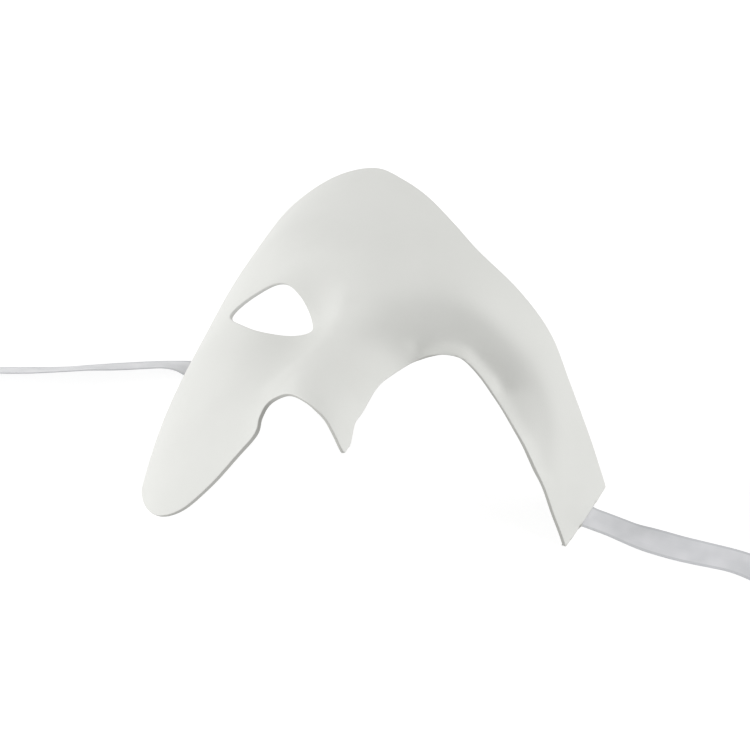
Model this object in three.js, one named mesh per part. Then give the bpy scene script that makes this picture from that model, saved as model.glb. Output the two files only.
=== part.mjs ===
// A one-eyed half mask of moulded white plastic, lying face up on the edges of its two temples, with a
// satin ribbon tie glued inside each temple. Millimetres, +Z up. +X is the wearer's left, +Y runs towards
// the forehead, and the origin is under the middle of the mask, on the surface it lies on.
//
// The shell is one sheet of even thickness on a face form. A place on the form is a girth, the distance
// round the face from the middle of the nose, and a height, the distance above the line of the eyes.
import * as THREE from 'three';

// The face form. Girth is measured on a cylinder of girthRadius, standing on the form's own axis.
const FORM = {
  girthRadius: 80,
  halfWidth: 81,
  narrowing: 7.5, // of the half width, 82 mm above or below the eyes
  leftSpread: 4, // the open side of the mask stands this much wider
  depth: 88,
  foreheadRecess: 18, // of the depth, 80 mm above the eyes
  cheekRecess: 10, // of the depth, 85 mm below the eyes
  squareness: 2.27,
};
const NOSE = { rise: 23.5, middle: 2.5, bridge: 9, tip: -42, bridgeWidth: 13.5, tipWidth: 19, crest: 2.05 };

// Soft raised or sunken ovals. With a power above 2 the middle is flatter and the side steeper.
const BROW = { rise: 5.5, girth: 0, height: 25.5, width: 60, tall: 20 };
const LEFT_BROW = { rise: 3.8, girth: 19, height: 17.5, width: 18, tall: 16 };
const RIGHT_SOCKET = { rise: -6.2, girth: -24, height: -3, width: 15, tall: 20 };
const LEFT_SOCKET = { rise: -12.5, girth: 30.5, height: -21.5, width: 35, tall: 30, turn: -19, power: 5 };
const RIGHT_CHEEKBONE = { rise: 1.4, girth: -60, height: -21.5, width: 14, tall: 17.5 };
const RIGHT_CHEEK = { rise: 1.6, girth: -90, height: -38, width: 28, tall: 30 };
const RIGHT_TEMPLE = { rise: -1.8, girth: -98, height: 30, width: 28, tall: 15 };
const OVALS = [BROW, LEFT_BROW, RIGHT_SOCKET, LEFT_SOCKET, RIGHT_CHEEKBONE, RIGHT_CHEEK, RIGHT_TEMPLE];

// Soft raised or sunken lines, through knots of [girth, height].
const NOSE_FOOT = { rise: 0.6, width: 4, knots: [[-13, 8], [-12, -5], [-12.5, -15], [-15, -24], [-19, -33]] };
const EYE_CREASE = {
  rise: -0.9,
  width: 4.4,
  knots: [[25, 11], [36, 9.5], [49.5, 5.5], [58, 2.5], [66, -6], [71, -15.5]],
};
const EYE_FURROW = {
  rise: -1.8,
  width: 3,
  knots: [[16, 3], [19, 6], [24, 8.5], [31, 10], [37.5, 8], [44.5, 5.5], [48, 3]],
};
const EYE_LIP = {
  rise: 3.4,
  width: 4,
  knots: [
    [66, -22], [62, -17], [59, -13.5], [49.5, -6], [41.5, -1.5], [35, 1], [30, 2.5], [26, 2], [22.5, -1],
  ],
};
const FOLD_STEP = 3;

const WALL = 1.5;
const GAP = 0.3;

// The mask lies on its trimmed back edge: the form leans back by LEAN, and the surface that it lies on
// passes TRIM_DEPTH behind the bridge of the nose.
const LEAN = THREE.MathUtils.degToRad(17.6);
const TRIM_DEPTH = 65.5;
const FOOTPRINT_MIDDLE = { x: 2, y: 3.6 };

// The outline, as [girth, height]. TRIM runs are cut off flat where the mask lies on them.
const TEMPLE_TOP = 0.4;
const TEMPLE_FOOT = -31;
const CHEEK_FOOT = -66;
const FOREHEAD = [
  [-104.5, 12], [-95.5, 31], [-83, 49.5], [-67, 60.5], [-52, 71], [-36, 75], [-20, 70], [-5, 63],
  [9, 53.5], [23, 43], [39, 34.5], [52.5, 26.5], [65.5, 16], [79.5, 8], [94.5, 2.5],
];
const OPEN_EYE = [
  [82.5, -26.5], [68.5, -18], [50, -5], [35.5, 2.5], [25.5, 2], [16.5, -3.5], [11, -16.5], [11, -33.5],
  [11, -40], [12.5, -48],
];
const NOSE_POINT = [[12.5, -50.5], [12, -53]];
const LIP_AND_CHEEK = [
  [8, -49], [5, -46], [1.5, -44], [-1.5, -42.5], [-10, -39], [-17, -40], [-18.5, -45.5], [-17.5, -52],
  [-23.5, -59.5], [-32, -70.5], [-42, -79], [-54, -81], [-67, -76.5],
];
const EYE_HOLE = [
  [-57, -1], [-46, 7.5], [-37, 11], [-29, 7], [-22, -1.5], [-22.5, -5], [-32.5, -8], [-44, -7.5],
];

const EDGE_STEP = 2.5;
const LATTICE_STEP = 4.2;

// Satin ribbon ties, flat and 10 mm wide. The route is [x, y, tilt] along the surface, from inside the
// temple to the coil in which the spare length is put away: the tilt, in degrees, is how far the edge on
// its left hand stands up, from flat to on edge.
const RIBBON = { width: 10, thickness: 0.5, clearance: 0.1, tabLength: 12, tabThickness: 0.6 };
const RELIEF = { rise: 1, width: 12, shoulder: 2 };
const COIL = { outerRadius: 52, innerRadius: 48, wall: 1 };
const LEFT_RIBBON = {
  templeHeight: -15.2,
  coilTurn: 1,
  route: [
    [77.5, 1.3, 0], [84.5, 0.9, 0], [91, 0.5, 0], [98, -0.5, 4], [104, -1.2, 12], [110, -1.2, 15],
    [116, -0.8, 14], [122, 0, 12], [128, 1, 9], [134, 1.8, 7], [140, 1.6, 10], [147, 0.2, 21],
    [154, -2, 44], [161, -4.2, 70], [168, -5.4, 90],
  ],
};
const RIGHT_RIBBON = {
  templeHeight: -5.8,
  coilTurn: -1,
  route: [
    [-78, 11.1, 0], [-83, 10.5, 0], [-86, 9.7, 13], [-89.5, 8.5, 24], [-94, 6.7, 29], [-100, 3.7, 29],
    [-106, 0.5, 29], [-112, -2.7, 30], [-119, -6.5, 33], [-126, -10.5, 34], [-133, -14, 33],
    [-141, -17.6, 31], [-152, -22.4, 33], [-167, -28.6, 48], [-184, -34.8, 72], [-203, -41, 90],
  ],
};

const plastic = new THREE.MeshStandardMaterial({ color: 0xe9e9e4, roughness: 0.5, metalness: 0 });
const satin = new THREE.MeshStandardMaterial({ color: 0xd8dae0, roughness: 0.4, metalness: 0 });

const bump = (value, middle, width) => Math.exp(-(((value - middle) / width) ** 2));
const ease = (value) => THREE.MathUtils.smoothstep(value, 0, 1);

// The plain head: a squared oval in plan, narrowing and receding above and below the eyes.
function headRadius(girth, height) {
  const angle = girth / FORM.girthRadius;
  const halfWidth = FORM.halfWidth - FORM.narrowing * (height / 82) ** 2 + FORM.leftSpread * ease(girth / 60);
  const recess = FORM.foreheadRecess * (Math.max(height - 10, 0) / 70) ** 2
    + FORM.cheekRecess * (Math.max(-10 - height, 0) / 75) ** 2;
  const power = FORM.squareness;
  const across = (Math.abs(Math.sin(angle)) / halfWidth) ** power;
  const along = (Math.abs(Math.cos(angle)) / (FORM.depth - recess)) ** power;
  return (across + along) ** (-1 / power);
}

// Points about a step apart on a smooth curve through the knots.
function smoothRun(knots, step, closed = false) {
  const points = knots.map((knot) => (knot.isVector2 ? knot : new THREE.Vector2(...knot)));
  if (closed) points.push(points[0], points[1], points[2]);
  const curve = new THREE.SplineCurve(points);
  const spans = points.length - 1;
  const run = [];
  for (let span = closed ? 1 : 0; span < (closed ? spans - 1 : spans); span += 1) {
    const steps = Math.max(1, Math.ceil(points[span].distanceTo(points[span + 1]) / step));
    for (let i = 0; i < steps; i += 1) run.push(curve.getPoint((span + i / steps) / spans));
  }
  if (!closed) run.push(points.at(-1));
  return run;
}

const FOLDS = [NOSE_FOOT, EYE_CREASE, EYE_FURROW, EYE_LIP].map((fold) => {
  const run = smoothRun(fold.knots, FOLD_STEP);
  const edges = run.slice(1).map((end, i) => ({ start: run[i], edge: end.clone().sub(run[i]) }));
  return { ...fold, edges };
});

function ovalRise(oval, girth, height) {
  const turn = THREE.MathUtils.degToRad(oval.turn ?? 0);
  const aside = girth - oval.girth;
  const above = height - oval.height;
  const along = (aside * Math.cos(turn) + above * Math.sin(turn)) / oval.width;
  const across = (above * Math.cos(turn) - aside * Math.sin(turn)) / oval.tall;
  return oval.rise * Math.exp(-((along ** 2 + across ** 2) ** ((oval.power ?? 2) / 2)));
}

function foldRise(fold, girth, height) {
  const place = new THREE.Vector2(girth, height);
  const away = fold.edges.map(({ start, edge }) => {
    const reach = place.clone().sub(start);
    const share = THREE.MathUtils.clamp(reach.dot(edge) / edge.lengthSq(), 0, 1);
    return reach.addScaledVector(edge, -share).length();
  });
  return fold.rise * bump(Math.min(...away), 0, fold.width);
}

// The features stand out from the head along its radius.
function featureRise(girth, height) {
  const down = THREE.MathUtils.clamp((NOSE.bridge - height) / (NOSE.bridge - NOSE.tip), 0, 1.25);
  const noseWidth = NOSE.bridgeWidth + (NOSE.tipWidth - NOSE.bridgeWidth) * Math.min(down, 1);
  let rise = NOSE.rise * ease(down) * Math.exp(-(Math.abs((girth - NOSE.middle) / noseWidth) ** NOSE.crest));
  for (const oval of OVALS) rise += ovalRise(oval, girth, height);
  for (const fold of FOLDS) rise += foldRise(fold, girth, height);
  return rise;
}

// A place on the outer face, in the lying frame.
function facePoint(girth, height) {
  const angle = girth / FORM.girthRadius;
  const radius = headRadius(girth, height) + featureRise(girth, height);
  const forward = radius * Math.cos(angle) - FORM.depth;
  return new THREE.Vector3(
    radius * Math.sin(angle) - FOOTPRINT_MIDDLE.x,
    height * Math.cos(LEAN) - forward * Math.sin(LEAN) - FOOTPRINT_MIDDLE.y,
    height * Math.sin(LEAN) + forward * Math.cos(LEAN) + TRIM_DEPTH,
  );
}

function faceNormal(girth, height) {
  const step = 0.2;
  const round = facePoint(girth + step, height).sub(facePoint(girth - step, height));
  const up = facePoint(girth, height + step).sub(facePoint(girth, height - step));
  return round.cross(up).normalize();
}

// A place behind the outer face. On a trimmed edge it stays at the level of the cut.
function wallPoint(place, depth) {
  const normal = faceNormal(place.x, place.y);
  if (place.trimmed) normal.setZ(0).normalize();
  return facePoint(place.x, place.y).addScaledVector(normal, -depth);
}

// The girth at which one side of the form comes down to a level above the surface it lies on.
function girthAtLevel(side, height, level) {
  let near = 55;
  let far = 125;
  for (let i = 0; i < 40; i += 1) {
    const middle = (near + far) / 2;
    if (facePoint(side * middle, height).z > level) near = middle;
    else far = middle;
  }
  return side * near;
}

// The cut edge lifts over the ribbon, which leaves flat beneath it.
function reliefLevel(side, height) {
  const ribbon = side > 0 ? LEFT_RIBBON : RIGHT_RIBBON;
  const away = Math.abs(height - ribbon.templeHeight) - RELIEF.width / 2;
  return RELIEF.rise * (1 - ease(away / RELIEF.shoulder));
}

function trimmedRun(side, fromHeight, toHeight) {
  const count = Math.round(Math.abs(toHeight - fromHeight) / (EDGE_STEP / 2));
  return Array.from({ length: count + 1 }, (_, i) => {
    const height = THREE.MathUtils.lerp(fromHeight, toHeight, i / count);
    const place = new THREE.Vector2(girthAtLevel(side, height, reliefLevel(side, height)), height);
    return Object.assign(place, { trimmed: true });
  });
}

function maskOutline() {
  const leftEnd = trimmedRun(1, TEMPLE_TOP, TEMPLE_FOOT);
  const rightEnd = trimmedRun(-1, CHEEK_FOOT, TEMPLE_TOP);
  const foot = [leftEnd.at(-1), ...OPEN_EYE, ...NOSE_POINT, ...LIP_AND_CHEEK, rightEnd[0]];
  return [
    ...smoothRun([rightEnd.at(-1), ...FOREHEAD, leftEnd[0]], EDGE_STEP).slice(1, -1),
    ...leftEnd,
    ...smoothRun(foot, EDGE_STEP).slice(1, -1),
    ...rightEnd,
  ];
}

function isInside(point, ring) {
  let inside = false;
  ring.forEach((a, i) => {
    const b = ring[(i + 1) % ring.length];
    const crosses = (a.y > point.y) !== (b.y > point.y);
    if (crosses && point.x < a.x + ((point.y - a.y) / (b.y - a.y)) * (b.x - a.x)) inside = !inside;
  });
  return inside;
}

// A triangular lattice that fills the outline and keeps clear of its edges.
function latticeInside(outer, hole) {
  const edges = [...outer, ...hole];
  const rowStep = LATTICE_STEP * Math.sqrt(3) / 2;
  const clear = LATTICE_STEP * 0.55;
  const places = [];
  for (let row = 0; row * rowStep < 170; row += 1) {
    for (let column = 0; column * LATTICE_STEP < 250; column += 1) {
      const shift = (row % 2) * LATTICE_STEP / 2;
      const place = new THREE.Vector2(column * LATTICE_STEP + shift - 125, row * rowStep - 88);
      const fits = isInside(place, outer) && !isInside(place, hole);
      if (fits && edges.every((edge) => edge.distanceTo(place) > clear)) places.push(place);
    }
  }
  return places;
}

function circleAround(a, b, c) {
  const d = 2 * (a.x * (b.y - c.y) + b.x * (c.y - a.y) + c.x * (a.y - b.y));
  const x = (a.lengthSq() * (b.y - c.y) + b.lengthSq() * (c.y - a.y) + c.lengthSq() * (a.y - b.y)) / d;
  const y = (a.lengthSq() * (c.x - b.x) + b.lengthSq() * (a.x - c.x) + c.lengthSq() * (b.x - a.x)) / d;
  const middle = new THREE.Vector2(x, y);
  return { middle, radius: middle.distanceTo(a) };
}

// Delaunay triangles over the places, as index triples: each new point opens the triangles whose circle
// holds it and closes the gap with triangles of its own.
function delaunay(places) {
  const far = [new THREE.Vector2(-4000, -3000), new THREE.Vector2(4000, -3100), new THREE.Vector2(0, 5000)];
  const points = [...places, ...far];
  const count = places.length;
  const triangle = (i, j, k) => ({ corners: [i, j, k], ...circleAround(points[i], points[j], points[k]) });
  let triangles = [triangle(count, count + 1, count + 2)];
  places.forEach((place, index) => {
    const open = triangles.filter((t) => t.middle.distanceTo(place) < t.radius);
    triangles = triangles.filter((t) => t.middle.distanceTo(place) >= t.radius);
    const rim = new Map();
    for (const { corners } of open) {
      corners.forEach((from, i) => {
        const to = corners[(i + 1) % 3];
        if (!rim.delete(`${to},${from}`)) rim.set(`${from},${to}`, [from, to]);
      });
    }
    for (const [from, to] of rim.values()) triangles.push(triangle(from, to, index));
  });
  return triangles.map((t) => t.corners).filter((corners) => corners.every((i) => i < count));
}

// The sheet, face and back, closed by a rim round the outline and round the eye hole.
function shellGeometry() {
  const outer = maskOutline();
  const hole = smoothRun(EYE_HOLE, EDGE_STEP, true);
  const places = [...outer, ...hole, ...latticeInside(outer, hole)];
  const facets = delaunay(places).filter((corners) => {
    const middle = new THREE.Vector2();
    corners.forEach((i) => middle.addScaledVector(places[i], 1 / 3));
    return isInside(middle, outer) && !isInside(middle, hole);
  });
  const front = places.map((place) => wallPoint(place, 0));
  const back = places.map((place) => wallPoint(place, WALL));
  const size = places.length;
  const index = [];
  const edges = new Set();
  for (const [i, j, k] of facets) {
    index.push(i, j, k, size + i, size + k, size + j);
    for (const [from, to] of [[i, j], [j, k], [k, i]]) {
      if (!edges.delete(`${to},${from}`)) edges.add(`${from},${to}`);
    }
  }
  for (const edge of edges) {
    const [from, to] = edge.split(',').map(Number);
    index.push(to, from, size + from, to, size + from, size + to);
  }
  const geometry = new THREE.BufferGeometry().setFromPoints([...front, ...back]);
  geometry.setIndex(index);
  geometry.computeVertexNormals();
  return geometry;
}

// The glued end of a ribbon: a strip of it lying against the inside of the wall, above the cut edge.
function tabGeometry(side, templeHeight) {
  const foot = RELIEF.rise + GAP;
  const rows = 4;
  const columns = 4;
  const depths = [WALL + GAP, WALL + GAP + RIBBON.tabThickness];
  const geometry = new THREE.BoxGeometry(1, 1, 1, columns, rows, 1);
  const position = geometry.attributes.position;
  for (let i = 0; i < position.count; i += 1) {
    const level = foot + (position.getY(i) + 0.5) * RIBBON.tabLength;
    const height = templeHeight + position.getX(i) * RIBBON.width + level * Math.sin(LEAN);
    const depth = position.getZ(i) > 0 ? depths[0] : depths[1];
    const place = { x: girthAtLevel(side, height, level), y: height, trimmed: true };
    const point = wallPoint(place, depth);
    position.setXYZ(i, point.x, point.y, point.z);
  }
  if (side > 0) return geometry;
  const flipped = geometry.index.array;
  for (let i = 0; i < flipped.length; i += 3) [flipped[i], flipped[i + 1]] = [flipped[i + 1], flipped[i]];
  return geometry;
}

// The stretch of ribbon between the temple and the coil: a flat bar bent along its route. Its lower edge
// stays on the surface as it tilts.
function ribbonGeometry(route) {
  const curve = new THREE.CatmullRomCurve3(route.map(([x, y, tilt]) => new THREE.Vector3(x, y, tilt)));
  const geometry = new THREE.BoxGeometry(1, 1, 1, 1, 1, 3 * route.length);
  const position = geometry.attributes.position;
  for (let i = 0; i < position.count; i += 1) {
    const along = position.getZ(i) + 0.5;
    const place = curve.getPoint(along);
    const heading = curve.getTangent(along).setZ(0).normalize();
    const tilt = THREE.MathUtils.degToRad(place.z);
    const across = position.getX(i) * RIBBON.width;
    const through = position.getY(i) * RIBBON.thickness;
    const sideways = across * Math.cos(tilt) - through * Math.sin(tilt);
    const lift = RIBBON.clearance + (RIBBON.width * Math.sin(tilt) + RIBBON.thickness * Math.cos(tilt)) / 2;
    const rise = across * Math.sin(tilt) + through * Math.cos(tilt);
    position.setXYZ(i, place.x - heading.y * sideways, place.y + heading.x * sideways, lift + rise);
  }
  return geometry;
}

// The coil starts where the ribbon, running straight on, comes alongside it.
function coilMiddle(route, turn) {
  const [before, last] = route.slice(-2).map(([x, y]) => new THREE.Vector2(x, y));
  const heading = last.clone().sub(before).normalize();
  const leadIn = Math.sqrt((COIL.outerRadius + COIL.wall + 2 * GAP) ** 2 - COIL.outerRadius ** 2);
  const inward = new THREE.Vector2(-heading.y, heading.x).multiplyScalar(turn * COIL.outerRadius);
  return last.addScaledVector(heading, leadIn).add(inward);
}

// The coil's outer shape: a ring as tall as the ribbon is wide, which stands on its edge in it.
function coilGeometry() {
  const inner = COIL.innerRadius - COIL.wall;
  const outer = COIL.outerRadius + COIL.wall;
  const foot = RIBBON.clearance;
  const top = foot + RIBBON.width;
  const profile = [[inner, foot], [outer, foot], [outer, top], [inner, top], [inner, foot]];
  const ring = new THREE.LatheGeometry(profile.map(([x, y]) => new THREE.Vector2(x, y)), 40);
  return ring.rotateX(Math.PI / 2);
}

function addMesh(group, name, geometry, material) {
  const mesh = new THREE.Mesh(geometry, material);
  mesh.name = name;
  group.add(mesh);
  return mesh;
}

function addRibbon(group, name, side, ribbon) {
  addMesh(group, `${name}_tab`, tabGeometry(side, ribbon.templeHeight), satin);
  addMesh(group, name, ribbonGeometry(ribbon.route), satin);
  const coil = addMesh(group, `${name}_coil`, coilGeometry(), satin);
  coil.position.set(...coilMiddle(ribbon.route, ribbon.coilTurn), 0);
}

const mask = new THREE.Group();
addMesh(mask, 'mask_shell', shellGeometry(), plastic);
addRibbon(mask, 'ribbon_left', 1, LEFT_RIBBON);
addRibbon(mask, 'ribbon_right', -1, RIGHT_RIBBON);

export default mask;
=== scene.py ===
"""A plain white one-eyed half mask of moulded plastic, lying face up with its two satin ties laid out.

The sheet is moulded on a face form. A place on the form is a girth, the distance round the face from the
middle of the nose, and a height, the distance above the line of the eyes, both in millimetres. Everything
that reaches Blender is in metres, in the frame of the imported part: +X is the wearer's left, +Y runs towards
the forehead and +Z stands up from the surface that the mask lies on.
"""
import logging
import math
from collections.abc import Sequence
from dataclasses import dataclass, field
from enum import Enum
from typing import Any

import bpy
import numpy as np
from mathutils import Matrix, Vector
from mathutils.bvhtree import BVHTree
from mathutils.geometry import delaunay_2d_cdt


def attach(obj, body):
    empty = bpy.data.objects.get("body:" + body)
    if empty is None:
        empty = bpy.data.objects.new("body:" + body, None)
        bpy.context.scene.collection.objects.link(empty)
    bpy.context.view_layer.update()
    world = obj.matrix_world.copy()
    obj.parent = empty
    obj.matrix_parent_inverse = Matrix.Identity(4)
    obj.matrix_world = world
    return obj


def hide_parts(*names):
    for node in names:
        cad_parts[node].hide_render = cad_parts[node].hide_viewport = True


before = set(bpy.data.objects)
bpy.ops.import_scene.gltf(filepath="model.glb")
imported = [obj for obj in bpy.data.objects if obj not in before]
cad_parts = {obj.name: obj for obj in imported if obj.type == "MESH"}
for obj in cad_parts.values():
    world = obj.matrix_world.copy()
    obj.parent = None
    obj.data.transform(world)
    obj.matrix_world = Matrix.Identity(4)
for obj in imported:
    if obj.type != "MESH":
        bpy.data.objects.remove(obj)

LOG = logging.getLogger("half_mask")
MM = 0.001
IMAGE_SIZE = 750  # pixels along each side of the photograph
TINY = 1e-12  # keeps a division away from zero


class Temple(Enum):
    """A side of the mask, with the sign that X has there."""

    LEFT = 1
    RIGHT = -1


def ease(value: np.ndarray) -> np.ndarray:
    """Return value clamped to 0..1 and eased at both ends."""
    share = np.clip(value, 0, 1)
    return share * share * (3 - 2 * share)


def smooth_run(knots: Sequence[Sequence[float]], step: float, closed: bool = False) -> np.ndarray:
    """Return points on a smooth curve through knots.

    Args:
        knots: Points of any dimension that the curve passes through.
        step: The largest distance between two points, in the knots' unit.
        closed: Whether the curve returns to its first knot.

    Returns:
        One row a point, without the end point of a closed curve.
    """
    points = np.asarray(knots, float)
    spans = len(points) if closed else len(points) - 1
    rows = []
    for span in range(spans):
        around = [span - 1, span, span + 1, span + 2]
        picked = [i % len(points) if closed else min(max(i, 0), len(points) - 1) for i in around]
        before, start, end, after = points[picked]
        count = max(1, math.ceil(np.linalg.norm(end - start) / step))
        t = (np.arange(count) / count)[:, None]
        leave, arrive = (end - before) / 2, (after - start) / 2
        rows.append(
            (2 * t**3 - 3 * t**2 + 1) * start + (t**3 - 2 * t**2 + t) * leave
            + (3 * t**2 - 2 * t**3) * end + (t**3 - t**2) * arrive
        )
    if not closed:
        rows.append(points[-1:])
    return np.vstack(rows)


def inside(points: np.ndarray, ring: np.ndarray) -> np.ndarray:
    """Tell which points lie inside a closed ring.

    Args:
        points: Rows of two coordinates.
        ring: The ring's points in order, the first one only once.

    Returns:
        A truth value for each point.
    """
    a, b = ring, np.roll(ring, -1, axis=0)
    x, y = points[:, :1], points[:, 1:2]
    spans = (a[:, 1] > y) != (b[:, 1] > y)
    rise = np.where(b[:, 1] == a[:, 1], TINY, b[:, 1] - a[:, 1])
    meets = a[:, 0] + (y - a[:, 1]) / rise * (b[:, 0] - a[:, 0])
    return (spans & (x < meets)).sum(axis=1) % 2 == 1


def clearance(points: np.ndarray, run: np.ndarray) -> np.ndarray:
    """Measure how far points are from a run of straight edges.

    Args:
        points: Rows of coordinates.
        run: The run's points in order.

    Returns:
        The distance of each point from the nearest edge.
    """
    start, edge = run[:-1], np.diff(run, axis=0)
    reach = points[:, None] - start
    share = np.clip((reach * edge).sum(-1) / np.maximum((edge * edge).sum(-1), TINY), 0, 1)
    return np.linalg.norm(reach - share[..., None] * edge, axis=-1).min(axis=1)


def closed(ring: np.ndarray) -> np.ndarray:
    """Return a ring with its first point again at its end."""
    return np.vstack([ring, ring[:1]])


# The face form and the outline cut from it. The folds' lines are knots of girth and height in millimetres.

EYE_LIP = (
    (66, -22), (62, -17), (59, -13.5), (49.5, -6), (41.5, -1.5), (35, 1), (30, 2.5), (26, 2), (22.5, -1),
)
EYE_FURROW = ((16, 3), (19, 6), (24, 8.5), (31, 10), (37.5, 8), (44.5, 5.5), (48, 3))
NOSE_FOOT = ((-13, 8), (-12, -5), (-12.5, -15), (-15, -24), (-19, -33))
EYE_CREASE = ((25, 11), (36, 9.5), (49.5, 5.5), (58, 2.5), (66, -6), (71, -15.5))


@dataclass(frozen=True)
class Oval:
    """A soft raised or sunken oval on the form: where it is and how far it stands out, in millimetres.

    With a power above 2 its middle is flatter and its side steeper.
    """

    rise: float
    girth: float
    height: float
    width: float
    tall: float
    turn: float = 0.0
    power: float = 2.0

    def at(self, girth: np.ndarray, height: np.ndarray) -> np.ndarray:
        """Work out how far the oval stands out.

        Args:
            girth: The girth of each place.
            height: The height of each place.

        Returns:
            Its rise at each place.
        """
        aside, above = girth - self.girth, height - self.height
        along = (aside * math.cos(self.turn) + above * math.sin(self.turn)) / self.width
        across = (above * math.cos(self.turn) - aside * math.sin(self.turn)) / self.tall
        return self.rise * np.exp(-((along**2 + across**2) ** (self.power / 2)))


@dataclass(frozen=True)
class Fold:
    """A soft raised or sunken line on the form, through knots of girth and height, in millimetres.

    Its line is drawn with straight steps of at most the step given.
    """

    rise: float
    width: float
    knots: tuple[tuple[float, float], ...]
    step: float = 3.0

    def at(self, girth: np.ndarray, height: np.ndarray) -> np.ndarray:
        """Return how far the line stands out at these places."""
        away = clearance(np.stack([girth, height], axis=-1), smooth_run(self.knots, self.step))
        return self.rise * np.exp(-((away / self.width) ** 2))


@dataclass(frozen=True)
class FaceForm:
    """The face that the sheet is moulded on, leaning back as the mask lies. Millimetres.

    The head narrows by its narrowing at the narrowing height. Above and below the band at the eyes it
    recedes by each recess at the height given, counted from the band's edge. Each side comes down to the
    surface somewhere between the two side girths, and is found there by halving.
    """

    girth_radius: float = 80.0
    half_width: float = 81.0
    narrowing: float = 7.5
    narrowing_height: float = 82.0
    left_spread: float = 4.0
    left_spread_girth: float = 60.0
    depth: float = 88.0
    eye_band: float = 10.0
    forehead_recess: float = 18.0
    forehead_height: float = 70.0
    cheek_recess: float = 10.0
    cheek_height: float = 75.0
    squareness: float = 2.27
    nose_rise: float = 23.5
    nose_middle: float = 2.5
    nose_bridge: float = 9.0
    nose_tip: float = -42.0
    nose_crest: float = 2.05
    bridge_width: float = 13.5
    tip_width: float = 19.0
    brow: Oval = Oval(5.5, 0, 25.5, 60, 20)
    left_brow: Oval = Oval(3.8, 19, 17.5, 18, 16)
    right_socket: Oval = Oval(-6.2, -24, -3, 15, 20)
    nose_foot: Fold = Fold(0.6, 4.0, NOSE_FOOT)
    left_socket: Oval = Oval(-12.5, 30.5, -21.5, 35, 30, math.radians(-19), 5)
    right_cheekbone: Oval = Oval(1.4, -60, -21.5, 14, 17.5)
    right_cheek: Oval = Oval(1.6, -90, -38, 28, 30)
    right_temple: Oval = Oval(-1.8, -98, 30, 28, 15)
    crease: Fold = Fold(-0.9, 4.4, EYE_CREASE)
    furrow: Fold = Fold(-1.8, 3.0, EYE_FURROW)
    lip: Fold = Fold(3.4, 4.0, EYE_LIP)
    lean: float = math.radians(17.6)
    trim_depth: float = 65.5
    footprint_middle: tuple[float, float] = (2.0, 3.6)
    side_girths: tuple[float, float] = (55.0, 125.0)
    halvings: int = 40

    def head_radius(self, girth: np.ndarray, height: np.ndarray) -> np.ndarray:
        """Work out the plain head: a squared oval that narrows and recedes away from the eyes.

        Args:
            girth: The girth of each place.
            height: The height of each place.

        Returns:
            Its radius at each place.
        """
        angle = girth / self.girth_radius
        half_width = self.half_width - self.narrowing * (height / self.narrowing_height) ** 2
        half_width = half_width + self.left_spread * ease(girth / self.left_spread_girth)
        recess = self.forehead_recess * (np.maximum(height - self.eye_band, 0) / self.forehead_height) ** 2
        recess += self.cheek_recess * (np.maximum(-self.eye_band - height, 0) / self.cheek_height) ** 2
        across = (np.abs(np.sin(angle)) / half_width) ** self.squareness
        along = (np.abs(np.cos(angle)) / (self.depth - recess)) ** self.squareness
        return (across + along) ** (-1 / self.squareness)

    def feature_rise(self, girth: np.ndarray, height: np.ndarray) -> np.ndarray:
        """Work out how far the nose, the ovals and the folds stand out from the head.

        Args:
            girth: The girth of each place.
            height: The height of each place.

        Returns:
            Their rise together at each place.
        """
        down = np.clip((self.nose_bridge - height) / (self.nose_bridge - self.nose_tip), 0, 1)
        width = self.bridge_width + (self.tip_width - self.bridge_width) * down
        aside = np.abs((girth - self.nose_middle) / width)
        rise = self.nose_rise * ease(down) * np.exp(-(aside**self.nose_crest))
        features = (
            self.brow, self.left_brow, self.right_socket, self.left_socket, self.right_cheekbone,
            self.right_cheek, self.right_temple, self.nose_foot, self.crease, self.furrow, self.lip,
        )
        return rise + sum(feature.at(girth, height) for feature in features)

    def points(self, places: np.ndarray) -> np.ndarray:
        """Find places on the outer face.

        Args:
            places: Rows of girth and height.

        Returns:
            Rows of x, y and z in millimetres, as the mask lies.
        """
        girth, height = places[:, 0], places[:, 1]
        angle = girth / self.girth_radius
        radius = self.head_radius(girth, height) + self.feature_rise(girth, height)
        forward = radius * np.cos(angle) - self.depth
        return np.stack(
            [
                radius * np.sin(angle) - self.footprint_middle[0],
                height * math.cos(self.lean) - forward * math.sin(self.lean) - self.footprint_middle[1],
                height * math.sin(self.lean) + forward * math.cos(self.lean) + self.trim_depth,
            ],
            axis=1,
        )

    def normals(self, places: np.ndarray) -> np.ndarray:
        """Find which way the outer face points.

        Args:
            places: Rows of girth and height.

        Returns:
            Outward directions of length 1, as the mask lies.
        """
        step = 0.2
        round_face = self.points(places + [step, 0]) - self.points(places - [step, 0])
        up_face = self.points(places + [0, step]) - self.points(places - [0, step])
        direction = np.cross(round_face, up_face)
        return direction / np.linalg.norm(direction, axis=1, keepdims=True)

    def girth_at_level(self, side: Temple, heights: np.ndarray, level: float) -> np.ndarray:
        """Return the girth at which one side comes down to a level above the surface.

        Args:
            side: The side of the mask.
            heights: Heights on the form.
            level: The level above the surface that the mask lies on.

        Returns:
            A signed girth for each height.
        """
        near, far = (np.full(len(heights), girth) for girth in self.side_girths)
        for _ in range(self.halvings):
            middle = (near + far) / 2
            above = self.points(np.stack([side.value * middle, heights], axis=1))[:, 2] > level
            near, far = np.where(above, middle, near), np.where(above, far, middle)
        return side.value * near


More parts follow.
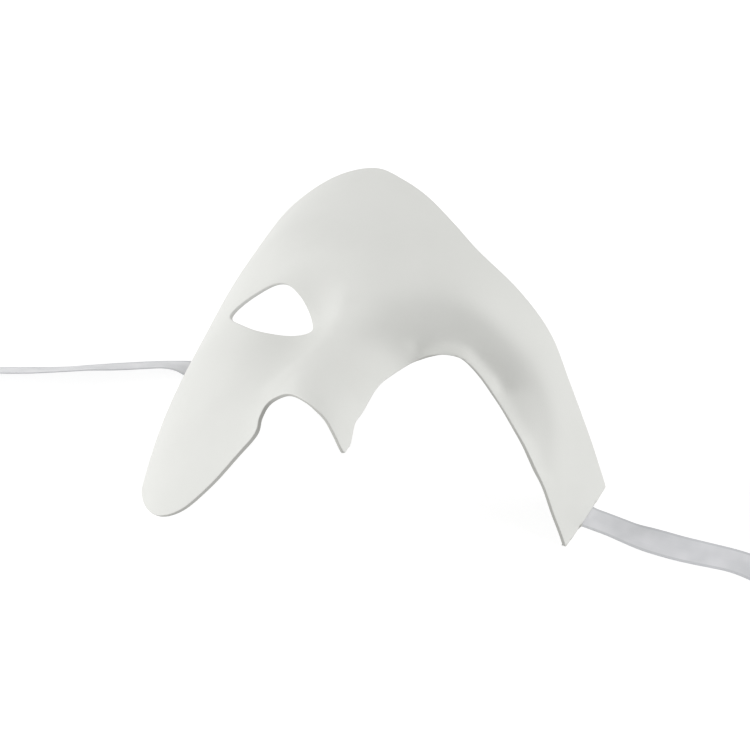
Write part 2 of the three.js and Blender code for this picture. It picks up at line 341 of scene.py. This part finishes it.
@dataclass(frozen=True)
class Outline:
    """Where the moulded sheet is cut, as knots of girth and height in millimetres.

    Both lying edges begin at the height of the temple top. The left one ends at that of the temple foot and
    the right one at that of the cheek foot. Along them the sheet is first carried on below the surface.
    """

    temple_top: float = 0.4
    temple_foot: float = -31.0
    cheek_foot: float = -66.0
    below: float = 2.5
    forehead: tuple[tuple[float, float], ...] = (
        (-104.5, 12), (-95.5, 31), (-83, 49.5), (-67, 60.5), (-52, 71), (-36, 75), (-20, 70), (-5, 63),
        (9, 53.5), (23, 43), (39, 34.5), (52.5, 26.5), (65.5, 16), (79.5, 8), (94.5, 2.5),
    )
    open_eye: tuple[tuple[float, float], ...] = (
        (82.5, -26.5), (68.5, -18), (50, -5), (35.5, 2.5), (25.5, 2), (16.5, -3.5), (11, -16.5),
        (11, -33.5), (11, -40), (12.5, -48),
    )
    nose_point: tuple[tuple[float, float], ...] = ((12.5, -50.5), (12, -53))
    lip_and_cheek: tuple[tuple[float, float], ...] = (
        (8, -49), (5, -46), (1.5, -44), (-1.5, -42.5), (-10, -39), (-17, -40), (-18.5, -45.5), (-17.5, -52),
        (-23.5, -59.5), (-32, -70.5), (-42, -79), (-54, -81), (-67, -76.5),
    )
    eye_hole: tuple[tuple[float, float], ...] = (
        (-57, -1), (-46, 7.5), (-37, 11), (-29, 7), (-22, -1.5), (-22.5, -5), (-32.5, -8), (-44, -7.5),
    )

    def floor_run(
        self, form: FaceForm, side: Temple, heights: tuple[float, float], step: float
    ) -> np.ndarray:
        """Find the stretch that the lying surface trims, carried on a little below that surface.

        Args:
            form: The face form.
            side: The side of the mask.
            heights: The heights at which the stretch begins and ends.
            step: About how far apart its points are.

        Returns:
            Rows of girth and height.
        """
        count = max(2, round(abs(heights[1] - heights[0]) / step))
        height = np.linspace(heights[0], heights[1], count + 1)
        return np.stack([form.girth_at_level(side, height, -self.below), height], axis=1)

    def corner(self, form: FaceForm, side: Temple, height: float) -> np.ndarray:
        """Return the place where an edge of the sheet meets the surface that the mask lies on."""
        return np.array([form.girth_at_level(side, np.array([height]), 0.0)[0], height])

    def ring(self, form: FaceForm, step: float) -> np.ndarray:
        """Join the four stretches of the outline.

        Args:
            form: The face form.
            step: About how far apart its points are.

        Returns:
            Rows of girth and height, counter-clockwise seen from outside.
        """
        left, right = Temple.LEFT, Temple.RIGHT
        left_top, left_foot = (self.corner(form, left, h) for h in (self.temple_top, self.temple_foot))
        right_foot, right_top = (self.corner(form, right, h) for h in (self.cheek_foot, self.temple_top))
        lower = [left_foot, *self.open_eye, *self.nose_point, *self.lip_and_cheek, right_foot]
        runs = [
            smooth_run([right_top, *self.forehead, left_top], step),
            self.floor_run(form, left, (self.temple_top, self.temple_foot), step),
            smooth_run(lower, step),
            self.floor_run(form, right, (self.cheek_foot, self.temple_top), step),
        ]
        return np.vstack(runs)[::-1]


# Materials


class ShaderValue:
    """A socket's number, on which Python's operators add Math nodes."""

    def __init__(self, nodes: "ShaderNodes", socket: Any) -> None:
        """Wrap an output socket of a material's nodes."""
        self.nodes = nodes
        self.socket = socket

    def _math(self, operation: str, first: Any, second: Any) -> "ShaderValue":
        """Add a Math node that joins two values."""
        return self.nodes.add("ShaderNodeMath", {"operation": operation}, {0: first, 1: second})

    def __add__(self, other: Any) -> "ShaderValue":
        """Add."""
        return self._math("ADD", self, other)

    __radd__ = __add__

    def __sub__(self, other: Any) -> "ShaderValue":
        """Subtract."""
        return self._math("SUBTRACT", self, other)

    def __rsub__(self, other: Any) -> "ShaderValue":
        """Subtract from a plain number."""
        return self._math("SUBTRACT", other, self)

    def __mul__(self, other: Any) -> "ShaderValue":
        """Multiply."""
        return self._math("MULTIPLY", self, other)

    __rmul__ = __mul__

    def __abs__(self) -> "ShaderValue":
        """Drop the sign."""
        return self._math("ABSOLUTE", self, 0.0)

    def above(self, edge: float, soft: float) -> "ShaderValue":
        """Tell where the value is above an edge.

        Args:
            edge: The middle of the change.
            soft: The width over which it is eased.

        Returns:
            0 below the edge and 1 above it.
        """
        limits = {1: edge - soft / 2, 2: edge + soft / 2}
        eased = {"interpolation_type": "SMOOTHSTEP"}
        return self.nodes.add("ShaderNodeMapRange", eased, {0: self, **limits})

    def swing(self, amount: float) -> "ShaderValue":
        """Return how far a noise is off its middle of 0.5, times amount."""
        return (self - 0.5) * amount


class ShaderNodes:
    """The node tree of one new material."""

    def __init__(self, name: str) -> None:
        """Start a material with an empty Principled shader.

        Args:
            name: The material's name.
        """
        self.material = bpy.data.materials.new(name)
        self.material.use_nodes = True
        self.tree = self.material.node_tree
        self.shader = next(n for n in self.tree.nodes if n.type == "BSDF_PRINCIPLED")

    def _connect(self, socket: Any, value: Any) -> None:
        """Give a socket a link or a plain value.

        Args:
            socket: The input socket.
            value: A shader value, which is linked, or a plain value.
        """
        if isinstance(value, ShaderValue):
            self.tree.links.new(value.socket, socket)
        else:
            socket.default_value = value

    def add(
        self, kind: str, settings: dict[str, Any], values: dict[Any, Any], output: Any = 0
    ) -> ShaderValue:
        """Add a node.

        Args:
            kind: The node's type.
            settings: Properties that are set before its sockets.
            values: Values or links by socket name or number.
            output: The name or number of the output that is returned.

        Returns:
            The output, ready for sums.
        """
        node = self.tree.nodes.new(kind)
        for key, value in settings.items():
            setattr(node, key, value)
        for key, value in values.items():
            self._connect(node.inputs[key], value)
        return ShaderValue(self, node.outputs[output])

    def wave(self, value: ShaderValue, period: float) -> ShaderValue:
        """Add a sine wave along a value, from -1 to 1."""
        return self.add("ShaderNodeMath", {"operation": "SINE"}, {0: value * (2 * math.pi / period)})

    def noise(self, vector: ShaderValue, scale: float, detail: float) -> ShaderValue:
        """Add a cloud of smooth noise, around 0.5."""
        return self.add("ShaderNodeTexNoise", {}, {"Vector": vector, "Scale": scale, "Detail": detail})

    def mix(self, share: Any, first: Any, second: Any) -> ShaderValue:
        """Mix two colours.

        Args:
            share: How much of the second colour is used, from 0 to 1.
            first: The colour at 0.
            second: The colour at 1.

        Returns:
            The mixed colour.
        """
        node = self.tree.nodes.new("ShaderNodeMix")
        node.data_type = "RGBA"
        colours = [s for s in node.inputs if s.type == "RGBA"]
        self._connect(node.inputs[0], share)
        for socket, value in zip(colours, (first, second)):
            self._connect(socket, value)
        return ShaderValue(self, next(s for s in node.outputs if s.type == "RGBA"))

    def relief(self, height: ShaderValue, distance: float, strength: float = 1.0) -> ShaderValue:
        """Bend the normal by a pattern from 0 to 1 that stands out by a distance in metres."""
        values = {"Height": height, "Distance": distance, "Strength": strength}
        return self.add("ShaderNodeBump", {}, values)

    def dress(self, **values: Any) -> bpy.types.Material:
        """Set the shader's sockets.

        Args:
            values: Values or links by socket name, with underscores for spaces.

        Returns:
            The finished material.
        """
        for key, value in values.items():
            self._connect(self.shader.inputs[key.replace("_", " ")], value)
        return self.material


@dataclass(frozen=True)
class MouldedPlastic:
    """Plain white moulded plastic: satin, slightly warm, with a fine grain, and painted shade on its cut
    edges.
    """

    name: str = "mask_plastic"
    colour: tuple[float, float, float, float] = (0.765, 0.77, 0.74, 1.0)
    shade: tuple[float, float, float, float] = (0.735, 0.74, 0.71, 1.0)
    # painted shade: the grey that the cut edges are given for the shade they lie in
    edge_shade: tuple[float, float, float, float] = (0.56, 0.56, 0.53, 1.0)
    roughness: float = 0.55
    grain: float = 0.00002
    grain_scale: float = 2200.0
    grain_shade: float = 0.5
    grain_gloss: float = 0.1
    cloud_scale: float = 45.0
    cloud_middle: float = 0.52
    cloud_blur: float = 0.5
    cloud_shade: float = 0.6
    cloud_gloss: float = 0.12
    cloud_relief: float = 0.3

    def material(self) -> bpy.types.Material:
        """Build the material.

        Returns:
            The material, which reads from a point attribute how much painted shade a point on a cut edge
            gets.
        """
        nodes = ShaderNodes(self.name)
        place = nodes.add("ShaderNodeTexCoord", {}, {}, "Object")
        clouds = nodes.noise(place, self.cloud_scale, detail=4.0)
        grain = nodes.noise(place, self.grain_scale, detail=2.0)
        cloudy = clouds.above(self.cloud_middle, self.cloud_blur)
        tone = cloudy * self.cloud_shade + grain.swing(self.grain_shade)
        sheet = nodes.mix(tone, self.colour, self.shade)
        # painted shade on the cut edges, read from a point attribute
        edge_shade = nodes.add("ShaderNodeAttribute", {"attribute_name": "edge_shade_share"}, {}, "Fac")
        return nodes.dress(
            Base_Color=nodes.mix(edge_shade, sheet, self.edge_shade),
            Roughness=self.roughness + clouds.swing(self.cloud_gloss) + grain.swing(self.grain_gloss),
            Normal=nodes.relief(grain + clouds * self.cloud_relief, self.grain),
            Specular_IOR_Level=0.45,
        )


@dataclass(frozen=True)
class RibbonSatin:
    """Pale silver-grey satin: long shining warp threads, with a narrow woven edge on each side. Metres."""

    name: str = "ribbon_satin"
    colour: tuple[float, float, float, float] = (0.66, 0.67, 0.69, 1.0)
    # lighter colour for the threads' streaks and for the broad patches of painted sheen
    light: tuple[float, float, float, float] = (0.83, 0.83, 0.855, 1.0)
    edge: tuple[float, float, float, float] = (0.62, 0.63, 0.65, 1.0)
    width: float = 0.010
    selvage: float = 0.0009
    selvage_blur: float = 0.0002
    selvage_tint: float = 0.8
    selvage_gloss: float = 0.18
    warp: float = 0.00016
    weft: float = 0.00024
    thread_height: float = 0.00003
    warp_relief: float = 0.3
    weft_relief: float = 0.15
    selvage_relief: float = 0.7
    streak_scale: tuple[float, float, float] = (5200.0, 170.0, 1.0)
    streak_tint: float = 0.3
    streak_gloss: float = 0.16
    cloud_scale: float = 75.0
    cloud_middle: float = 0.5
    cloud_blur: float = 0.4
    # share of the broad patches of painted sheen
    sheen_patch_tint: float = 0.7
    roughness: float = 0.34

    def material(self) -> bpy.types.Material:
        """Build the material.

        Returns:
            The material, which reads the UV map ribbon: across and along the ribbon, in metres.
        """
        nodes = ShaderNodes(self.name)
        place = nodes.add("ShaderNodeUVMap", {"uv_map": "ribbon"}, {})
        across = nodes.add("ShaderNodeSeparateXYZ", {}, {0: place})
        along = ShaderValue(nodes, across.socket.node.outputs[1])
        from_middle = abs(across - self.width / 2)
        woven = from_middle.above(self.width / 2 - self.selvage, self.selvage_blur)
        warp = nodes.wave(across, self.warp)
        weft = nodes.wave(along, self.weft)
        stretched = nodes.add("ShaderNodeMapping", {}, {"Vector": place, "Scale": self.streak_scale})
        streaks = nodes.noise(stretched, 1.0, detail=2.0)
        clouds = nodes.noise(place, self.cloud_scale, detail=2.0)
        streaky = streaks * self.streak_tint
        # painted sheen: broad lighter patches standing in for the satin's shine where it bends and tilts; the
        # fine streaks are the threads' own tone
        cloudy = clouds.above(self.cloud_middle, self.cloud_blur) * self.sheen_patch_tint
        body = nodes.mix(streaky + cloudy, self.colour, self.light)
        threads = warp * (1 - woven) * self.warp_relief
        threads = threads + weft * (woven * self.selvage_relief + self.weft_relief)
        return nodes.dress(
            Base_Color=nodes.mix(woven * self.selvage_tint, body, self.edge),
            Roughness=self.roughness + streaks.swing(self.streak_gloss) + woven * self.selvage_gloss,
            Normal=nodes.relief(threads * 0.5 + 0.5, self.thread_height, strength=0.8),
            Sheen_Weight=0.25,
            Sheen_Roughness=0.4,
        )


# Pieces


def select_only(piece: bpy.types.Object) -> None:
    """Deselect everything, then select and activate one piece.

    Args:
        piece: The piece.
    """
    bpy.ops.object.select_all(action="DESELECT")
    piece.select_set(True)
    bpy.context.view_layer.objects.active = piece


def apply_modifier(piece: bpy.types.Object, kind: str, **settings: Any) -> None:
    """Put a modifier on a piece and apply it.

    Args:
        piece: The piece.
        kind: The modifier's type.
        settings: The modifier's properties by name.
    """
    select_only(piece)
    modifier = piece.modifiers.new(kind.title(), kind)
    for key, value in settings.items():
        setattr(modifier, key, value)
    bpy.ops.object.modifier_apply(modifier=modifier.name)


def new_piece(name: str, points: np.ndarray, faces: Sequence[Sequence[int]]) -> bpy.types.Object:
    """Make a mesh object.

    Args:
        name: The piece's name.
        points: Rows of x, y and z in millimetres.
        faces: The numbers of each face's points.

    Returns:
        The new object, in metres.
    """
    mesh = bpy.data.meshes.new(name)
    mesh.from_pydata((points * MM).tolist(), [], [list(map(int, face)) for face in faces])
    mesh.validate()
    piece = bpy.data.objects.new(name, mesh)
    bpy.context.scene.collection.objects.link(piece)
    return piece


def finish_piece(
    piece: bpy.types.Object, material: bpy.types.Material, nodes: Sequence[str]
) -> None:
    """Give a piece its material and its body, and hide the CAD nodes that it stands for.

    Args:
        piece: The piece.
        material: Its only material.
        nodes: The names of the CAD nodes.
    """
    piece.data.materials.clear()
    piece.data.materials.append(material)
    select_only(piece)
    bpy.ops.object.shade_smooth_by_angle(angle=math.radians(38))
    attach(piece, "root")
    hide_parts(*nodes)
    LOG.info("%s: %d faces for %s", piece.name, len(piece.data.polygons), ", ".join(nodes))


@dataclass
class MaskShell:
    """The moulded sheet with its eye hole, trimmed flat where it lies. Millimetres.

    Its lying edge is lifted by the relief over each ribbon, about the middle given in y. Its face is a
    triangular lattice, with rows of points at set distances beside its edges. The two kinds of room are
    shares of the lattice's step and of a row's distance. The cut edges get painted shade from the eye reach
    outwards, wholly where the cosine between surface and face is below the given turn, then easing off.
    """

    form: FaceForm
    outline: Outline
    finish: MouldedPlastic
    wall: float = 1.5
    edge_round: float = 0.4
    edge_step: float = 1.0
    lattice_step: float = 1.7
    lattice_room: float = 0.6
    lattice_girths: tuple[float, float] = (-125, 125)
    lattice_heights: tuple[float, float] = (-88, 82)
    rows_beside_edge: tuple[float, ...] = (0.6, 1.4)
    row_room: float = 0.93
    same_place: float = 1e-6
    # the eye hole's rim is lit, so it gets no painted shade within this reach of the eye
    eye_reach: float = 27.0
    edge_shade_turn: float = 0.35
    edge_shade_blur: float = 0.5
    relief_rise: float = 0.42
    relief_width: float = 12.0
    relief_shoulder: float = 3.0
    relief_middles: dict[Temple, float] = field(
        default_factory=lambda: {Temple.LEFT: 1.3, Temple.RIGHT: 11.1}
    )

    def lattice(self, outer: np.ndarray, hole: np.ndarray) -> np.ndarray:
        """Fill the outline with a triangular lattice and with rows of places beside its edges.

        Args:
            outer: The outline, as rows of girth and height.
            hole: The eye hole, likewise.

        Returns:
            Rows of girth and height.
        """
        rows = np.arange(*self.lattice_heights, self.lattice_step * math.sqrt(3) / 2)
        columns = np.arange(*self.lattice_girths, self.lattice_step)
        shift = self.lattice_step / 2
        grid = np.array([(x + (i % 2) * shift, y) for i, y in enumerate(rows) for x in columns])
        grid = grid[inside(grid, outer) & ~inside(grid, hole)]
        room = self.rows_beside_edge[-1] + self.lattice_step * self.lattice_room
        grid = grid[np.minimum(clearance(grid, closed(outer)), clearance(grid, closed(hole))) > room]
        beside = []
        for ring, inward in ((outer, -1), (hole, 1)):
            along = np.roll(ring, -1, axis=0) - np.roll(ring, 1, axis=0)
            along /= np.linalg.norm(along, axis=1, keepdims=True)
            across = inward * np.stack([along[:, 1], -along[:, 0]], axis=1)
            for distance in self.rows_beside_edge:
                row = ring + across * distance
                near = np.minimum(clearance(row, closed(outer)), clearance(row, closed(hole)))
                clear = near > distance * self.row_room
                beside.append(row[clear & inside(row, outer) & ~inside(row, hole)])
        return np.vstack([grid, *beside])

    def sheet(self) -> bpy.types.Object:
        """Make the outer face of the mask.

        Returns:
            A new piece, an open sheet of triangles.
        """
        outer = self.outline.ring(self.form, self.edge_step)
        hole = smooth_run(self.outline.eye_hole, self.edge_step, closed=True)
        if np.cross(hole[1] - hole[0], hole[2] - hole[1]) > 0:
            hole = hole[::-1]
        places = np.vstack([outer, hole, self.lattice(outer, hole)])
        loops = [range(len(outer)), range(len(outer), len(outer) + len(hole))]
        edges = [(loop[i], loop[(i + 1) % len(loop)]) for loop in loops for i in range(len(loop))]
        found = delaunay_2d_cdt([Vector(p) for p in places], edges, [], 0, self.same_place)
        vertices, faces = np.array([tuple(v) for v in found[0]]), np.array(found[2])
        middle = vertices[faces].mean(axis=1)
        faces = faces[inside(middle, outer) & ~inside(middle, hole)]
        return new_piece("half_mask", self.form.points(vertices), faces)

    def build(self) -> None:
        """Build the shell: thicken the sheet, trim it where it lies, lift it over the ribbons, round it."""
        piece = self.sheet()
        face = BVHTree.FromPolygons(
            [vertex.co for vertex in piece.data.vertices], [tuple(p.vertices) for p in piece.data.polygons]
        )
        apply_modifier(piece, "SOLIDIFY", thickness=self.wall * MM, offset=-1.0, use_even_offset=True)
        bpy.ops.object.mode_set(mode="EDIT")
        bpy.ops.mesh.select_all(action="SELECT")
        bpy.ops.mesh.bisect(plane_co=(0, 0, 0), plane_no=(0, 0, 1), use_fill=True, clear_inner=True)
        bpy.ops.object.mode_set(mode="OBJECT")
        for vertex in piece.data.vertices:
            if vertex.co.z < self.relief_rise * MM:
                side = Temple.LEFT if vertex.co.x > 0 else Temple.RIGHT
                away = abs(vertex.co.y / MM - self.relief_middles[side]) - self.relief_width / 2
                share = float(1 - ease(away / self.relief_shoulder))
                vertex.co.z = max(vertex.co.z, MM * self.relief_rise * share)
        apply_modifier(
            piece, "BEVEL", width=self.edge_round * MM, segments=3, limit_method="ANGLE",
            angle_limit=math.radians(50), use_clamp_overlap=False, profile=0.6,
        )
        self.paint_edge_shade(piece, face)
        finish_piece(piece, self.finish.material(), ["mask_shell"])

    def paint_edge_shade(self, piece: bpy.types.Object, face: BVHTree) -> None:
        """Paint shade on the cut edges, by how far each point faces along the sheet, not round the lit eye
        hole.

        Args:
            piece: The finished shell.
            face: The outer face before it was given its thickness.
        """
        # painted shade: how much of the cut edges' grey each point gets, fullest on the rim faces
        layer = piece.data.attributes.new("edge_shade_share", "FLOAT", "POINT")
        knots = np.array(self.outline.eye_hole, float)
        eye = Vector(self.form.points(knots.mean(axis=0, keepdims=True))[0] * MM)
        for vertex, normal, entry in zip(piece.data.vertices, piece.data.vertex_normals, layer.data):
            if (vertex.co - eye).length > self.eye_reach * MM:
                outward = face.find_nearest(vertex.co)[1]
                facing = abs(outward.dot(normal.vector))
                entry.value = float(1 - ease((facing - self.edge_shade_turn) / self.edge_shade_blur))


LEFT_ROUTE = (
    (77.5, 1.3, 0), (84.5, 0.9, 0), (91, 0.5, 0), (98, -0.5, 4), (104, -1.2, 12), (110, -1.2, 15),
    (116, -0.8, 14), (122, 0, 12), (128, 1, 9), (134, 1.8, 7), (140, 1.6, 10), (147, 0.2, 21),
    (154, -2, 44), (161, -4.2, 70), (168, -5.4, 90),
)
RIGHT_ROUTE = (
    (-78, 11.1, 0), (-83, 10.5, 0), (-86, 9.7, 13), (-89.5, 8.5, 24), (-94, 6.7, 29), (-100, 3.7, 29),
    (-106, 0.5, 29), (-112, -2.7, 30), (-119, -6.5, 33), (-126, -10.5, 34), (-133, -14, 33),
    (-141, -17.6, 31), (-152, -22.4, 33), (-167, -28.6, 48), (-184, -34.8, 72), (-203, -41, 90),
)


@dataclass
class RibbonTie:
    """A satin ribbon from the glue inside a temple to its free end, its spare length wound on edge.

    Its route is rows of x, y and the tilt in degrees by which its left-hand edge stands up. Millimetres.
    Its material is shared with the other ribbon.
    """

    name: str
    temple: Temple
    temple_height: float
    route: Sequence[tuple[float, float, float]]
    form: FaceForm
    wall: float
    relief_rise: float
    finish: RibbonSatin
    material: bpy.types.Material
    length: float = 480.0
    width: float = 10.0
    thickness: float = 0.3
    glued: float = 12.0
    rest: float = 0.02
    coil_outer: float = 52.0
    coil_inner: float = 48.0
    coil_wall: float = 1.0
    gap: float = 0.3
    columns: int = 14
    wall_rows: int = 14
    bend_rows: int = 5
    bend_room: float = 0.5
    foot_room: float = 2.5
    laid_step: float = 1.0
    on_edge: float = 90.0

    def glued_rows(self) -> np.ndarray:
        """Lead the ribbon down the inside of the wall and round its cut edge.

        Returns:
            Rows of points across the ribbon.
        """
        across = np.linspace(-0.5, 0.5, self.columns + 1) * self.width

        def wall_row(level: float) -> tuple[np.ndarray, np.ndarray]:
            """Find the wall at one level.

            Args:
                level: The level above the surface that the mask lies on.

            Returns:
                Points on its outer face, and the level directions in which they face.
            """
            height = self.temple_height + self.temple.value * across + level * math.sin(self.form.lean)
            places = np.stack([self.form.girth_at_level(self.temple, height, level), height], axis=1)
            outward = self.form.normals(places)
            outward[:, 2] = 0
            return self.form.points(places), outward / np.linalg.norm(outward, axis=1, keepdims=True)

        rows = []
        top, bottom = self.relief_rise + self.glued, self.relief_rise + self.bend_room
        for level in np.linspace(top, bottom, self.wall_rows):
            face, outward = wall_row(level)
            rows.append(face - outward * (self.wall + self.thickness / 2 + self.rest))
        face, outward = wall_row(self.relief_rise)
        corner = face - outward * self.wall
        bend = self.relief_rise - self.rest - self.thickness / 2
        for turn in np.linspace(0, math.pi / 2, self.bend_rows):
            rows.append(corner - bend * (math.cos(turn) * outward + math.sin(turn) * np.array([0, 0, 1.0])))
        return np.array(rows)

    def coil(self, start: np.ndarray, heading: np.ndarray, used: float) -> np.ndarray:
        """Lay the coil that takes up the rest of the length.

        Args:
            start: Where the route ends, x and y.
            heading: The direction in which it ends.
            used: The length of ribbon up to there.

        Returns:
            Rows of x and y, about 1 mm apart: a short lead-in, then a spiral.
        """
        lead = math.sqrt((self.coil_outer + self.coil_wall + 2 * self.gap) ** 2 - self.coil_outer**2)
        side = np.array([-heading[1], heading[0]]) * self.temple.value
        tangent = start + heading * lead
        middle = tangent + side * self.coil_outer
        sweep = 2 * (self.length - used - lead) / (self.coil_outer + self.coil_inner)
        angle = np.linspace(0, sweep, round(sweep * self.coil_outer))[:, None]
        radius = self.coil_outer - (self.coil_outer - self.coil_inner) * angle / sweep
        spiral = middle + radius * (np.sin(angle) * heading - np.cos(angle) * side)
        straight = np.arange(self.laid_step, lead, self.laid_step)[:, None]
        return np.vstack([start + heading * straight, spiral])

    def laid_rows(self, foot: np.ndarray, used: float) -> np.ndarray:
        """Lay the ribbon along the surface and round the coil.

        Args:
            foot: The middle of the last glued row.
            used: The length of ribbon up to there.

        Returns:
            Rows of points across the ribbon.
        """
        laid = smooth_run(self.route, self.laid_step)
        laid = laid[np.abs(laid[:, 0] - foot[0]) > self.foot_room]
        laid = laid[np.argmax(np.abs(laid[:, 0]) > abs(foot[0])):]
        used += np.linalg.norm(np.diff(np.vstack([foot[:2], laid[:, :2]]), axis=0), axis=1).sum()
        heading = laid[-1, :2] - laid[-2, :2]
        wound = self.coil(laid[-1, :2], heading / np.linalg.norm(heading), used)
        line = np.vstack([laid, np.column_stack([wound, np.full(len(wound), self.on_edge)])])
        heading = np.gradient(line[:, :2], axis=0)
        heading /= np.linalg.norm(heading, axis=1, keepdims=True)
        tilt = np.radians(line[:, 2:])
        across = np.linspace(-0.5, 0.5, self.columns + 1) * self.width
        lift = self.rest + (self.width * np.sin(tilt) + self.thickness * np.cos(tilt)) / 2
        x = line[:, :1] - heading[:, 1:] * across * np.cos(tilt)
        y = line[:, 1:2] + heading[:, :1] * across * np.cos(tilt)
        return np.stack([x, y, lift + across * np.sin(tilt)], axis=-1)

    def build(self) -> None:
        """Build the ribbon as one strip with a little thickness."""
        glued = self.glued_rows()
        middle = self.columns // 2
        used = np.linalg.norm(np.diff(glued[:, middle], axis=0), axis=1).sum()
        rows = np.concatenate([glued, self.laid_rows(glued[-1, middle], used)])
        size = self.columns + 1
        faces = [
            (r * size + c, (r + 1) * size + c, (r + 1) * size + c + 1, r * size + c + 1)
            for r in range(len(rows) - 1)
            for c in range(self.columns)
        ]
        piece = new_piece(self.name + "_satin", rows.reshape(-1, 3), faces)
        steps = np.linalg.norm(np.diff(rows[:, middle], axis=0), axis=1)
        along = np.concatenate([[0], np.cumsum(steps)])[:, None]
        across = np.linspace(0, self.width, size)[None, :]
        layer = piece.data.uv_layers.new(name="ribbon")
        places = np.stack(np.broadcast_arrays(across, along), axis=-1).reshape(-1, 2) * MM
        index = np.zeros(len(piece.data.loops), int)
        piece.data.loops.foreach_get("vertex_index", index)
        layer.data.foreach_set("uv", places[index].ravel())
        apply_modifier(piece, "SOLIDIFY", thickness=self.thickness * MM, offset=0.0)
        nodes = [self.name, self.name + "_tab", self.name + "_coil"]
        finish_piece(piece, self.material, nodes)
        self.width * MM


# The studio and the camera


@dataclass(frozen=True)
class PhotoView:
    """The camera that took the photograph, in metres and degrees, with its sensor in millimetres."""

    azimuth: float = 24.6
    elevation: float = 44.45
    roll: float = -0.57
    target: tuple[float, float, float] = (-0.002, 0.0055, 0.0369)
    distance: float = 0.8
    scale: float = 2785.0  # pixels a metre at the target
    target_pixel: tuple[float, float] = (381.0, 370.5)
    sensor: float = 36.0

    def build(self) -> None:
        """Add the camera and make it the scene's."""
        data = bpy.data.cameras.new("photo_camera")
        data.sensor_fit = "HORIZONTAL"
        data.sensor_width = self.sensor
        data.lens = self.scale * self.distance / IMAGE_SIZE * self.sensor
        data.shift_x = (IMAGE_SIZE / 2 - self.target_pixel[0]) / IMAGE_SIZE
        data.shift_y = (self.target_pixel[1] - IMAGE_SIZE / 2) / IMAGE_SIZE
        data.clip_start = 0.05
        around, up = math.radians(self.azimuth), math.radians(self.elevation)
        away = Vector((math.sin(around) * math.cos(up), -math.cos(around) * math.cos(up), math.sin(up)))
        turn = Matrix.Rotation(around, 4, "Z") @ Matrix.Rotation(math.pi / 2 - up, 4, "X")
        turn = turn @ Matrix.Rotation(math.radians(self.roll), 4, "Z")
        camera = bpy.data.objects.new("photo_camera", data)
        camera.matrix_world = Matrix.Translation(Vector(self.target) + away * self.distance) @ turn
        bpy.context.scene.collection.objects.link(camera)
        bpy.context.scene.camera = camera


@dataclass(frozen=True)
class SoftLight:
    """A square studio lamp that faces the mask. Its way round from +X and its height are in degrees."""

    name: str
    around: float
    up: float
    power: float
    size: float = 0.7
    distance: float = 1.5

    def build(self) -> None:
        """Add the lamp."""
        data = bpy.data.lights.new(self.name, "AREA")
        data.energy, data.size = self.power, self.size
        around, up = math.radians(self.around), math.radians(self.up)
        place = Vector((math.cos(around) * math.cos(up), math.sin(around) * math.cos(up), math.sin(up)))
        lamp = bpy.data.objects.new(self.name, data)
        lamp.location = place * self.distance
        lamp.rotation_euler = (-place).to_track_quat("-Z", "Y").to_euler()
        lamp.visible_camera = False
        bpy.context.scene.collection.objects.link(lamp)


@dataclass(frozen=True)
class Studio:
    """A plain floor that glows white, an even room light and two soft lamps on each side of the mask."""

    white: tuple[float, float, float, float] = (1.0, 1.0, 1.0, 1.0)
    floor_colour: tuple[float, float, float, float] = (0.35, 0.35, 0.35, 1.0)
    floor_roughness: float = 0.9
    floor_glow: float = 0.78
    floor_size: float = 8.0
    floor_level: float = -0.0001
    room: float = 0.58
    lamps: tuple[SoftLight, ...] = (
        SoftLight("right_light", around=0.0, up=28.0, power=4.2),
        SoftLight("right_back_light", around=30.0, up=28.0, power=5.2),
        SoftLight("left_light", around=180.0, up=28.0, power=6.2),
        SoftLight("left_front_light", around=210.0, up=8.0, power=5.6),
    )

    def build(self) -> None:
        """Add the floor, the lamps and the even light of the room."""
        bpy.context.scene.view_settings.view_transform = "Standard"
        bpy.ops.object.select_all(action="DESELECT")
        bpy.ops.mesh.primitive_plane_add(size=self.floor_size, location=(0, 0, self.floor_level))
        floor = bpy.context.active_object
        floor.name = "studio_floor"
        floor.visible_diffuse = False
        floor.visible_shadow = False
        paper = ShaderNodes("studio_paper").dress(
            Base_Color=self.floor_colour,
            Roughness=self.floor_roughness,
            Emission_Color=self.white,
            Emission_Strength=self.floor_glow,
        )
        floor.data.materials.append(paper)
        world = bpy.context.scene.world or bpy.data.worlds.new("room")
        bpy.context.scene.world = world
        world.use_nodes = True
        background = world.node_tree.nodes["Background"]
        background.inputs["Color"].default_value = self.white
        background.inputs["Strength"].default_value = self.room
        for lamp in self.lamps:
            lamp.build()


def main() -> None:
    """Build the mask, its ties and the studio."""
    logging.basicConfig(level=logging.INFO, format="%(message)s")
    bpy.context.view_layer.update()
    PhotoView().build()
    Studio().build()
    mask = MaskShell(FaceForm(), Outline(), MouldedPlastic())
    mask.build()
    satin = RibbonSatin()
    both = {
        "form": mask.form,
        "wall": mask.wall,
        "relief_rise": mask.relief_rise,
        "finish": satin,
        "material": satin.material(),
    }
    RibbonTie("ribbon_left", Temple.LEFT, temple_height=-15.2, route=LEFT_ROUTE, **both).build()
    RibbonTie("ribbon_right", Temple.RIGHT, temple_height=-5.8, route=RIGHT_ROUTE, **both).build()


if __name__ == "__main__":
    main()
